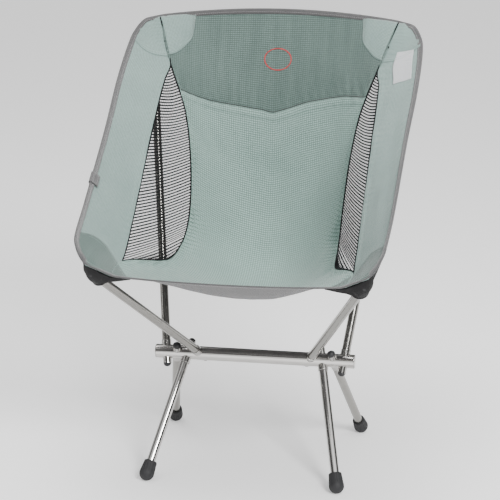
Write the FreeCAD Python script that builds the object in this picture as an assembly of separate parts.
import FreeCAD, Part
import math
import os

# Ultralight backpacking chair: a hub beam on four shock-corded legs, with four poles that stretch a
# sling seat. Millimetres, +Z up, the sitter faces -Y. The origin is on the floor under the middle of
# the chair's outline. Right means +X, and the left side is the mirror of the right.

V = FreeCAD.Vector

# ---- driving dimensions ----------------------------------------------------------------------
# Hub beam
BEAM_LENGTH = 300.0
BEAM_OD = 21.0
BEAM_WALL = 1.6
BEAM_HEIGHT = 161.0            # beam axis above the floor
CAP_RIM = 2.5                  # beam cap, outside the tube
CAP_PLUG_DEPTH = 12.0
CAP_WALL = 2.0

# Legs and poles share one tube
TUBE_OD = 13.0
TUBE_WALL = 1.0
TUBE_EDGE = 0.3                # chamfer on the cut tube ends
STOP_GAP = 0.3                 # leg end to collar

# Sockets: a tube through the beam, with a collar and a spigot on one side and a stub on the other
COLLAR_STEP = 1.0              # collar radius beyond the tube's
COLLAR_LENGTH = 7.0
SPIGOT_LENGTH = 35.0
SPIGOT_WALL = 1.4
STUB_LENGTH = 8.0
PLUG_DOME = 5.0
PLUG_INSET = 0.5               # plug head radius inside the stub's
PLUG_DEPTH = 6.0
CAP_TO_COLLAR = 6.9            # beam end to the first collar
COLLAR_GAPS = (0.6, 2.7, 3.8)  # between neighbouring collars, from the beam end inwards

# Feet, measured from each leg's socket
FRONT_FOOT_OUT = 38.7
FRONT_FOOT_FORWARD = 119.8
REAR_FOOT_OUT = 30.3
REAR_FOOT_BACK = 130.0
FOOT_LENGTH = 30.0
FOOT_TOP_WALL = 3.0
FOOT_BALL_WALL = 4.75
FOOT_FLAT = 0.8                # depth of the worn flat under each foot
FOOT_LIP = 0.8
FOOT_GROOVES = 20
GROOVE_RADIUS = 0.9
GROOVE_DEPTH = 0.45

# Pole tips, measured from each pole's socket and from the floor
FRONT_TIP_OUT = 104.5
FRONT_TIP_FORWARD = 241.0
FRONT_TIP_HEIGHT = 350.5
FRONT_POLE_JOINT = 135.0       # beam axis to the joint between the two sections
REAR_TIP_OUT = 67.4
REAR_TIP_BACK = 221.0
REAR_TIP_HEIGHT = 636.0
REAR_POLE_JOINT = 275.0
FERRULE_LENGTH = 60.0
FERRULE_WALL = 1.2
TIP_LENGTH = 8.0
TIP_PLUG_DEPTH = 10.0

# Shock cord
CORD_DIAMETER = 3.0
KNOT_DIAMETER = 6.0
KNOT_FROM_END = 16.0           # knot centre to the tube's closed end

# Sling seat
SHEET = 1.4                    # cloth with its seam tapes
MESH_SHEET = 1.0
BINDING_WIDTH = 7.0
BINDING_SHEET = 3.0
SEAM_GAP = 1.6                 # between two panels in one seam
FRONT_CORNER_BEYOND = 1.6      # sling corner past the pole tip, along the line of the tips
REAR_CORNER_SHORT = 4.1        # and short of it at the rear
HEAD_SEAM = 0.82               # how far up the sling the head panel starts
SLING_TOP = 1.05               # how far up its middle reaches, past the rear corners
FRONT_POCKET_LENGTH = 46.0
REAR_POCKET_LENGTH = 52.0
POCKET_WALL = 2.0
POCKET_MOUTH_SPREAD = 3.0      # how much wider than thick a pocket is, each side
POCKET_END_SPREAD = 13.0
POCKET_END = 3.0
STRAP_PLACE = 0.31             # strap folded over the left edge, how far up it
STRAP_WIDTH = 22.0
STRAP_REACH = 12.0             # inwards from the edge, above and below the cloth
STRAP_SHEET = 1.4
TAG_PLACE = 0.84               # blank tag on the right side, how far up the edge
TAG_LENGTH = 40.0
TAG_WIDTH = 18.0
TAG_SHEET = 1.0
STAND_OFF = 0.4                # strap and tag clear of the cloth under them

# Clearances
SPIGOT_CLEARANCE = 0.10        # radial, spigot or ferrule in a tube
PRESS_CLEARANCE = 0.05         # radial, plugs, feet, sockets in the beam
POCKET_CLEARANCE = 0.6
FRONT_CORNER_CLEARANCE = 5.4   # sling corner above the pocket, square to the line of the tips
REAR_CORNER_CLEARANCE = 5.2
TIP_CLEARANCE = 0.5            # pole tip to the bottom of its pocket

# The sling's lines run from v = 0 at the front corners to v = 1 at the rear ones. Each station is
# (v, value). Width is a share of the distance from the middle to the line between the pole tips.
# Depth is how far the cloth hangs below that line, in millimetres.
MIDDLE_DEPTH = [(0.0, 23), (0.07, 86), (0.17, 150), (0.30, 222), (0.42, 260), (0.545, 252),
                (0.70, 193), (0.83, 113), (0.93, 61), (1.05, 4)]
INNER_SEAM_WIDTH = [(0.0, 0.86), (0.13, 0.86), (0.26, 0.67), (0.42, 0.615), (0.60, 0.61),
                    (0.76, 0.675), (0.86, 0.806), (1.0, 0.93)]
INNER_SEAM_DEPTH = [(0.0, 8), (0.13, 64), (0.255, 132), (0.31, 158), (0.41, 184), (0.49, 190),
                    (0.57, 175), (0.64, 150), (0.75, 100), (0.86, 35), (1.0, 0)]
OUTER_SEAM_WIDTH = [(0.0, 0.86), (0.13, 0.863), (0.52, 0.847), (0.80, 0.83), (0.86, 0.806), (1.0, 0.93)]
OUTER_SEAM_DEPTH = [(0.0, 8), (0.13, 64), (0.30, 64), (0.525, 50), (0.70, 42), (0.86, 35), (1.0, 0)]
EDGE_WIDTH = [(0.0, 1.03), (0.025, 1.09), (0.07, 1.13), (0.52, 1.14), (0.74, 1.15), (0.92, 1.13),
              (0.97, 1.086), (1.0, 1.03)]
EDGE_DEPTH = [(0.0, -4), (0.025, -13), (0.07, -16), (0.2, -7), (0.52, 3), (0.74, 8), (0.92, 11),
              (1.0, 4)]
MESH_START = 0.15
MESH_END = 0.85
MIDDLE_SHARE = 0.8             # of the full width's parameter, between the two inner seams

# ---- sizes that follow ----------------------------------------------------------------------
BEAM_R = BEAM_OD / 2
TUBE_R = TUBE_OD / 2
BORE_R = TUBE_R - TUBE_WALL
SPIGOT_R = BORE_R - SPIGOT_CLEARANCE
SOCKET_BORE_R = SPIGOT_R - SPIGOT_WALL
COLLAR_R = TUBE_R + COLLAR_STEP
POCKET_BORE_R = TUBE_R + POCKET_CLEARANCE
POCKET_R = POCKET_BORE_R + POCKET_WALL
COLLAR_END = BEAM_R + COLLAR_LENGTH          # from the beam axis, along a leg or pole
SPIGOT_END = COLLAR_END + SPIGOT_LENGTH
STUB_END = BEAM_R + STUB_LENGTH
FOOT_TOP_R = TUBE_R + FOOT_TOP_WALL
FOOT_BALL_R = TUBE_R + FOOT_BALL_WALL
FOOT_BALL_HEIGHT = FOOT_BALL_R - FOOT_FLAT
FOOT_FLOOR = FOOT_BALL_WALL - 2.5            # the tube stops this far above the ball's centre

REAR_POLE_X = BEAM_LENGTH / 2 - CAP_TO_COLLAR - COLLAR_R
REAR_LEG_X = REAR_POLE_X - 2 * COLLAR_R - COLLAR_GAPS[0]
FRONT_LEG_X = REAR_LEG_X - 2 * COLLAR_R - COLLAR_GAPS[1]
FRONT_POLE_X = FRONT_LEG_X - 2 * COLLAR_R - COLLAR_GAPS[2]

SIDES = (("left", -1), ("right", 1))
parts = {}


class Member:
    """A straight leg or pole: its axis starts on the beam axis and ends at a given point."""

    def __init__(self, socket_x, out, back, height, side):
        self.start = V(side * socket_x, 0, BEAM_HEIGHT)
        self.end = V(side * (socket_x + out), back, height)
        self.axis = (self.end - self.start).normalize()
        self.length = (self.end - self.start).Length

    def at(self, distance):
        return self.start + self.axis * distance

    def rod(self, radius, first, last):
        return Part.makeCylinder(radius, last - first, self.at(first), self.axis)

    def tube(self, outer, inner, first, last):
        """A tube with both outer edges chamfered."""
        body = self.rod(outer, first, last)
        rims = [e for e in body.Edges if abs(e.Length - 2 * math.pi * outer) < 0.01]
        return body.makeChamfer(TUBE_EDGE, rims).cut(self.rod(inner, first - 1, last + 1))

    def cone(self, first_radius, last_radius, first, last):
        return Part.makeCone(first_radius, last_radius, last - first, self.at(first), self.axis)


def members(side):
    """The four members on one side, by name."""
    return {
        "front_leg": Member(FRONT_LEG_X, FRONT_FOOT_OUT, -FRONT_FOOT_FORWARD, FOOT_BALL_HEIGHT, side),
        "rear_leg": Member(REAR_LEG_X, REAR_FOOT_OUT, REAR_FOOT_BACK, FOOT_BALL_HEIGHT, side),
        "front_pole": Member(FRONT_POLE_X, FRONT_TIP_OUT, -FRONT_TIP_FORWARD, FRONT_TIP_HEIGHT, side),
        "rear_pole": Member(REAR_POLE_X, REAR_TIP_OUT, REAR_TIP_BACK, REAR_TIP_HEIGHT, side),
    }


# ---- hub ------------------------------------------------------------------------------------
def beam_rod(radius, first, last):
    return Part.makeCylinder(radius, last - first, V(first, 0, BEAM_HEIGHT), V(1, 0, 0))


def hub_beam():
    half = BEAM_LENGTH / 2
    beam = beam_rod(BEAM_R, -half, half).cut(beam_rod(BEAM_R - BEAM_WALL, -half - 1, half + 1))
    for _, side in SIDES:
        for member in members(side).values():
            beam = beam.cut(member.rod(TUBE_R + PRESS_CLEARANCE, -STUB_END, STUB_END))
    return beam


def beam_cap(side):
    """A plug in one end of the beam, with a rounded rim the size of the beam."""
    half = BEAM_LENGTH / 2
    plug_r = BEAM_R - BEAM_WALL - PRESS_CLEARANCE
    start = V(side * half, 0, BEAM_HEIGHT)
    rim = Part.makeCylinder(BEAM_R, CAP_RIM, start, V(side, 0, 0))
    outer = [e for e in rim.Edges
             if abs(e.CenterOfMass.x - side * (half + CAP_RIM)) < 0.01 and e.Length > 1]
    rim = rim.makeFillet(CAP_RIM * 0.6, outer)
    depth = min(CAP_PLUG_DEPTH, CAP_TO_COLLAR - CAP_WALL)
    plug = Part.makeCylinder(plug_r, depth, start, V(-side, 0, 0))
    hollow = Part.makeCylinder(plug_r - CAP_WALL, depth + 1, start, V(-side, 0, 0))
    return rim.fuse(plug.cut(hollow)).removeSplitter()


def socket(member):
    """Stub, collar and spigot in one turned tube."""
    body = member.rod(TUBE_R, -STUB_END, COLLAR_END)
    collar = member.rod(COLLAR_R, 0, COLLAR_END).cut(
        beam_rod(BEAM_R + PRESS_CLEARANCE, -BEAM_LENGTH / 2, BEAM_LENGTH / 2))
    rim = [e for e in collar.Edges
           if abs(e.Length - 2 * math.pi * COLLAR_R) < 0.01]
    collar = collar.makeFillet(COLLAR_STEP * 0.6, rim)
    spigot = member.rod(SPIGOT_R, 0, SPIGOT_END)
    lead = [e for e in spigot.Edges
            if (e.CenterOfMass - member.at(SPIGOT_END)).Length < 0.01 and e.Length > 1]
    spigot = spigot.makeChamfer(SPIGOT_WALL * 0.4, lead)
    body = body.fuse([collar, spigot])
    return body.cut(member.rod(SOCKET_BORE_R, -STUB_END - 1, SPIGOT_END + 1)).removeSplitter()


def stub_plug(member):
    """A domed plug in the open end of a stub."""
    head_r = TUBE_R - PLUG_INSET
    dome_r = (head_r ** 2 + PLUG_DOME ** 2) / (2 * PLUG_DOME)
    centre = member.at(-STUB_END - PLUG_DOME + dome_r)
    dome = Part.makeSphere(dome_r, centre).common(
        member.rod(head_r, -STUB_END - PLUG_DOME - 1, -STUB_END))
    stem = member.rod(SOCKET_BORE_R - PRESS_CLEARANCE, -STUB_END - 0.5, -STUB_END + PLUG_DEPTH)
    return dome.fuse(stem).removeSplitter()


# ---- legs -----------------------------------------------------------------------------------
def leg_tube_end(leg):
    return leg.length - FOOT_FLOOR


def leg_tube(leg):
    return leg.tube(TUBE_R, BORE_R, COLLAR_END + STOP_GAP, leg_tube_end(leg))


def foot(leg):
    """A flared rubber cup with a ball end, grooves down its wall and a flat where it stands."""
    ball = leg.length
    top = ball + FOOT_BALL_R - FOOT_LENGTH
    body = leg.cone(FOOT_TOP_R, FOOT_BALL_R, top, ball)
    lip = [e for e in body.Edges if (e.CenterOfMass - leg.at(top)).Length < 0.01 and e.Length > 1]
    body = body.makeFillet(FOOT_LIP, lip)
    across = leg.axis.cross(V(0, 0, 1)).normalize()
    for index in range(FOOT_GROOVES):
        turned = FreeCAD.Rotation(leg.axis, index * 360 / FOOT_GROOVES).multVec(across)
        low = leg.at(top - 1) + turned * (FOOT_TOP_R + GROOVE_RADIUS - GROOVE_DEPTH)
        high = leg.at(ball + 1) + turned * (FOOT_BALL_R + GROOVE_RADIUS - GROOVE_DEPTH)
        body = body.cut(Part.makeCylinder(GROOVE_RADIUS, (high - low).Length, low, high - low))
    body = body.fuse(Part.makeSphere(FOOT_BALL_R, leg.at(ball)))
    body = body.cut(leg.rod(TUBE_R + PRESS_CLEARANCE, top - 1, leg_tube_end(leg) + PRESS_CLEARANCE))
    reach = 4 * FOOT_BALL_R
    floor = Part.makeBox(reach, reach, reach, leg.end + V(-reach / 2, -reach / 2, 0))
    floor.translate(V(0, 0, -FOOT_BALL_HEIGHT - reach))
    return body.cut(floor).removeSplitter()


def shock_cord(member, tube_end):
    """Cord from the stub plug to a knot near the far end of the tube."""
    knot = tube_end - KNOT_FROM_END
    cord = member.rod(CORD_DIAMETER / 2, -STUB_END + PLUG_DEPTH, knot)
    return cord.fuse(Part.makeSphere(KNOT_DIAMETER / 2, member.at(knot))).removeSplitter()


# ---- poles ----------------------------------------------------------------------------------
def ferrule(pole, joint):
    half = FERRULE_LENGTH / 2
    outer = BORE_R - SPIGOT_CLEARANCE
    return pole.rod(outer, joint - half, joint + half).cut(
        pole.rod(outer - FERRULE_WALL, joint - half - 1, joint + half + 1))


def pole_tube_end(pole):
    return pole.length - TIP_LENGTH


def pole_tip(pole):
    """A round-nosed plug in the pole's end."""
    nose = pole.rod(TUBE_R, pole_tube_end(pole), pole.length)
    edge = [e for e in nose.Edges if (e.CenterOfMass - pole.end).Length < 0.01 and e.Length > 1]
    nose = nose.makeFillet(TUBE_R * 0.6, edge)
    stem = pole.rod(BORE_R - PRESS_CLEARANCE, pole_tube_end(pole) - TIP_PLUG_DEPTH,
                    pole_tube_end(pole) + 1)
    return nose.fuse(stem).removeSplitter()


# ---- sling ----------------------------------------------------------------------------------
def smooth(stations, v):
    """A smooth curve through the stations, carried on straight past its ends."""
    last = len(stations) - 1

    def slope(k):
        low, high = stations[max(k - 1, 0)], stations[min(k + 1, last)]
        return (high[1] - low[1]) / (high[0] - low[0])

    if v <= stations[0][0]:
        return stations[0][1] + slope(0) * (v - stations[0][0])
    if v >= stations[last][0]:
        return stations[last][1] + slope(last) * (v - stations[last][0])
    k = max(i for i in range(last) if stations[i][0] <= v)
    (v0, a), (v1, b) = stations[k], stations[k + 1]
    span = v1 - v0
    t = (v - v0) / span
    blend = t * t * (3 - 2 * t)
    return a + (b - a) * blend + span * t * (1 - t) * (slope(k) * (1 - t) - slope(k + 1) * t)


FRONT_TIP = members(1)["front_pole"].end
REAR_TIP = members(1)["rear_pole"].end
TIP_LINE = V(0, REAR_TIP.y - FRONT_TIP.y, REAR_TIP.z - FRONT_TIP.z).normalize()
OFF_TIPS = V(0, -TIP_LINE.z, TIP_LINE.y)     # towards the sitter
FRONT_CORNER = (FRONT_TIP - TIP_LINE * FRONT_CORNER_BEYOND
                + OFF_TIPS * (POCKET_R + FRONT_CORNER_CLEARANCE))
REAR_CORNER = (REAR_TIP - TIP_LINE * REAR_CORNER_SHORT
               + OFF_TIPS * (POCKET_R + REAR_CORNER_CLEARANCE))
ALONG = V(0, REAR_CORNER.y - FRONT_CORNER.y, REAR_CORNER.z - FRONT_CORNER.z)
SLING_LENGTH = ALONG.Length
ALONG.normalize()
DOWN = V(0, ALONG.z, -ALONG.y)


def sling_point(share, depth, v, side=1):
    """A point at a share of the sling's half width and a depth below the line of the tips."""
    half = FRONT_CORNER.x + (REAR_CORNER.x - FRONT_CORNER.x) * v
    base = V(0, FRONT_CORNER.y, FRONT_CORNER.z) + ALONG * (v * SLING_LENGTH)
    return base + V(side * share * half, 0, 0) + DOWN * depth


def inner_seam(v, side=1):
    return sling_point(smooth(INNER_SEAM_WIDTH, v), smooth(INNER_SEAM_DEPTH, v), v, side)


def outer_seam(v, side=1):
    return sling_point(smooth(OUTER_SEAM_WIDTH, v), smooth(OUTER_SEAM_DEPTH, v), v, side)


def edge(v, side=1):
    return sling_point(smooth(EDGE_WIDTH, v), smooth(EDGE_DEPTH, v), v, side)


def middle_point(v, u):
    """The centre strip, u from -1 on the left inner seam to 1 on the right: it hangs in a parabola."""
    width, depth = smooth(INNER_SEAM_WIDTH, v), smooth(INNER_SEAM_DEPTH, v)
    middle = smooth(MIDDLE_DEPTH, v)
    stretch = SLING_TOP - 1
    v_here = v
    if v > HEAD_SEAM:
        v_here = v + stretch * (1 - u * u) * (v - HEAD_SEAM) / (1 - HEAD_SEAM)
        middle = smooth(MIDDLE_DEPTH, v + stretch * (v - HEAD_SEAM) / (1 - HEAD_SEAM))
    return sling_point(width * u, middle + (depth - middle) * u * u, v_here)


def between(first, second):
    """A strip straight across from one line to another."""
    return lambda v, u: first(v) + (second(v) - first(v)) * u


def cloth(point, v_range, u_range, sheet, rows, columns, offset=0.0):
    """A closed solid of even thickness on the surface point(v, u), moved down by the offset."""
    step = 1e-3
    facing = 1
    grids = ([], [])
    for i in range(rows + 1):
        v = v_range[0] + (v_range[1] - v_range[0]) * i / rows
        lines = ([], [])
        for j in range(columns + 1):
            u = u_range[0] + (u_range[1] - u_range[0]) * j / columns
            here = point(v, u)
            normal = (point(v + step, u) - here).cross(point(v, u + step) - here).normalize()
            if i == j == 0 and normal.dot(DOWN) < 0:
                facing = -1
            normal *= facing
            lines[0].append(here + normal * (offset - sheet / 2))
            lines[1].append(here + normal * (offset + sheet / 2))
        grids[0].append(lines[0])
        grids[1].append(lines[1])
    faces = []
    skins = []
    for grid in grids:
        skin = Part.BSplineSurface()
        skin.interpolate(grid)
        skins.append(skin)
        faces.append(skin.toShape())
    low_u, high_u, low_v, high_v = skins[0].bounds()
    for curve in (lambda s: s.uIso(low_u), lambda s: s.uIso(high_u),
                  lambda s: s.vIso(low_v), lambda s: s.vIso(high_v)):
        faces.append(Part.makeRuledSurface(curve(skins[0]).toShape(), curve(skins[1]).toShape()))
    shell = Part.makeShell(faces)
    shell.sewShape()
    solid = Part.Solid(shell)
    if solid.Volume < 0:
        solid.reverse()
    return solid


def side_gap(first, second, v=0.5):
    """Half the seam gap as a share of the strip's width."""
    return SEAM_GAP / 2 / (second(v) - first(v)).Length


def full_width(v, u):
    """The whole sling, u from -1 at the left border to 1 at the right one."""
    side = math.copysign(1, u)
    if abs(u) <= MIDDLE_SHARE:
        return middle_point(v, u / MIDDLE_SHARE)
    share = (abs(u) - MIDDLE_SHARE) / (1 - MIDDLE_SHARE)
    seam, border = outer_seam(v, side), cloth_edge(v, side)
    return seam + (border - seam) * share


def pocket(pole, length):
    """A closed cloth sleeve, wider than thick, round the end of a pole."""
    first, last = pole.length - length, pole.length + TIP_CLEARANCE + POCKET_END
    flat = V(1, 0, 0)
    thin = pole.axis.cross(flat).normalize()
    wires = []
    for distance, spread in ((first, POCKET_MOUTH_SPREAD), (last, POCKET_END_SPREAD)):
        oval = Part.Ellipse(pole.at(distance) + flat * (POCKET_R + spread),
                            pole.at(distance) + thin * POCKET_R,
                            pole.at(distance))
        wires.append(Part.Wire(oval.toShape()))
    body = Part.makeLoft(wires, True)
    return body.cut(pole.rod(POCKET_BORE_R, first - length, pole.length + TIP_CLEARANCE))


def cloth_edge(v, side=1):
    """Where the cloth stops and the binding starts, short of the chair's outline."""
    rim = edge(v, side)
    return rim + (outer_seam(v, side) - rim).normalize() * BINDING_WIDTH


def side_strap(v, u):
    """A strap folded round the left binding: u runs in over the cloth, round the edge and back."""
    rim = edge(v, -1)
    inwards = (outer_seam(v, -1) - rim).normalize()
    ahead = (edge(v + 0.01, -1) - edge(v - 0.01, -1)).normalize()
    up = ahead.cross(inwards).normalize()
    radius = BINDING_SHEET / 2 + STAND_OFF + STRAP_SHEET / 2
    turn = math.pi * radius
    travel = u * (2 * STRAP_REACH + turn)
    if travel < STRAP_REACH:
        return rim + inwards * (STRAP_REACH - travel) + up * radius
    if travel > STRAP_REACH + turn:
        return rim + inwards * (travel - STRAP_REACH - turn) - up * radius
    angle = (travel - STRAP_REACH) / radius
    return rim - inwards * (math.sin(angle) * radius) + up * (math.cos(angle) * radius)


def care_tag(v, u):
    """A blank tag sewn in at the right binding and lying on the side panel."""
    start = cloth_edge(v)
    return start + (outer_seam(v) - start).normalize() * (SEAM_GAP + u * TAG_WIDTH)


def build():
    """Fill parts with every node, in beam coordinates: the beam is over y = 0."""
    hem = BINDING_WIDTH / SLING_LENGTH        # the front and top bindings, as shares of v
    step = SEAM_GAP / 2 / SLING_LENGTH
    parts["hub_beam"] = hub_beam()
    parts["beam_caps"] = Part.Compound([beam_cap(side) for _, side in SIDES])
    for word, side in SIDES:
        by_name = members(side)
        for name, member in by_name.items():
            parts[name + "_socket_" + word] = socket(member)
        parts["stub_plugs_" + word] = Part.Compound([stub_plug(m) for m in by_name.values()])

        for name in ("front_leg", "rear_leg"):
            leg = by_name[name]
            parts[name + "_tube_" + word] = leg_tube(leg)
            parts[name.replace("leg", "foot") + "_" + word] = foot(leg)
            parts[name + "_cord_" + word] = shock_cord(leg, leg_tube_end(leg))

        for name, joint in (("front_pole", FRONT_POLE_JOINT), ("rear_pole", REAR_POLE_JOINT)):
            pole = by_name[name]
            gap = PRESS_CLEARANCE / 2
            parts[name + "_lower_" + word] = pole.tube(TUBE_R, BORE_R, COLLAR_END + gap, joint - gap)
            parts[name + "_upper_" + word] = pole.tube(
                TUBE_R, BORE_R, joint + gap, pole_tube_end(pole) - gap)
            parts[name + "_ferrule_" + word] = ferrule(pole, joint)
            parts[name + "_tip_" + word] = pole_tip(pole)
            parts[name + "_cord_" + word] = shock_cord(pole, pole_tube_end(pole) - TIP_PLUG_DEPTH)
        parts["front_pocket_" + word] = pocket(by_name["front_pole"], FRONT_POCKET_LENGTH)
        parts["top_pocket_" + word] = pocket(by_name["rear_pole"], REAR_POCKET_LENGTH)

        def line(which, s=side):
            return lambda v: which(v, s)

        inner, outer = line(inner_seam), line(outer_seam)
        border, rim = line(cloth_edge), line(edge)
        gap = side_gap(outer, border)
        parts["side_panel_" + word] = cloth(
            between(outer, border), (hem + step, 1 - hem - step), (gap, 1 - gap), SHEET, 48, 3)
        gap = side_gap(inner, outer)
        parts["mesh_panel_" + word] = cloth(
            between(inner, outer), (MESH_START, MESH_END), (gap, 1 - gap), MESH_SHEET, 24, 3)
        gap = side_gap(border, rim)
        parts["edge_binding_" + word] = cloth(
            between(border, rim), (0.0, 1.0), (gap, 1.0), BINDING_SHEET, 48, 1)

    inset = SEAM_GAP / 2 / inner_seam(0.5).x
    parts["seat_panel"] = cloth(
        middle_point, (hem + step, HEAD_SEAM - step), (-1 + inset, 1 - inset), SHEET, 26, 10)
    parts["head_panel"] = cloth(
        middle_point, (HEAD_SEAM + step, 1 - hem - step), (-1 + inset, 1 - inset), SHEET, 10, 10)
    ends = 1 - 3 * side_gap(outer_seam, cloth_edge) * (1 - MIDDLE_SHARE)
    parts["front_binding"] = cloth(
        full_width, (0.0, hem - step), (-ends, ends), BINDING_SHEET, 1, 40)
    parts["top_binding"] = cloth(
        full_width, (1 - hem + step, 1.0), (-ends, ends), BINDING_SHEET, 1, 40)

    half = STRAP_WIDTH / 2 / SLING_LENGTH
    parts["side_strap"] = cloth(
        side_strap, (STRAP_PLACE - half, STRAP_PLACE + half), (0.0, 1.0), STRAP_SHEET, 1, 16)
    half = TAG_LENGTH / 2 / SLING_LENGTH
    parts["care_tag"] = cloth(
        care_tag, (TAG_PLACE - half, TAG_PLACE + half), (0.0, 1.0), TAG_SHEET, 4, 1,
        offset=-(SHEET / 2 + TAG_SHEET / 2 + STAND_OFF))


build()

# The beam stands a little off the middle of the outline, which is where the origin is.
outline = Part.Compound(list(parts.values())).optimalBoundingBox(True, False)
BEAM_Y = -(outline.YMin + outline.YMax) / 2

os.makedirs("parts", exist_ok=True)
for name, shape in parts.items():
    shape.translate(V(0, BEAM_Y, 0))
    shape.exportStep("parts/" + name + ".step")
    print(f"{name:28s} solids {len(shape.Solids)} valid {shape.isValid()} volume {shape.Volume:10.1f}")
print(f"{len(parts)} nodes, beam at y = {BEAM_Y:.2f}, size {outline.XLength:.1f} x "
      f"{outline.YLength:.1f} x {outline.ZLength:.1f}, floor at {outline.ZMin:.2f}")
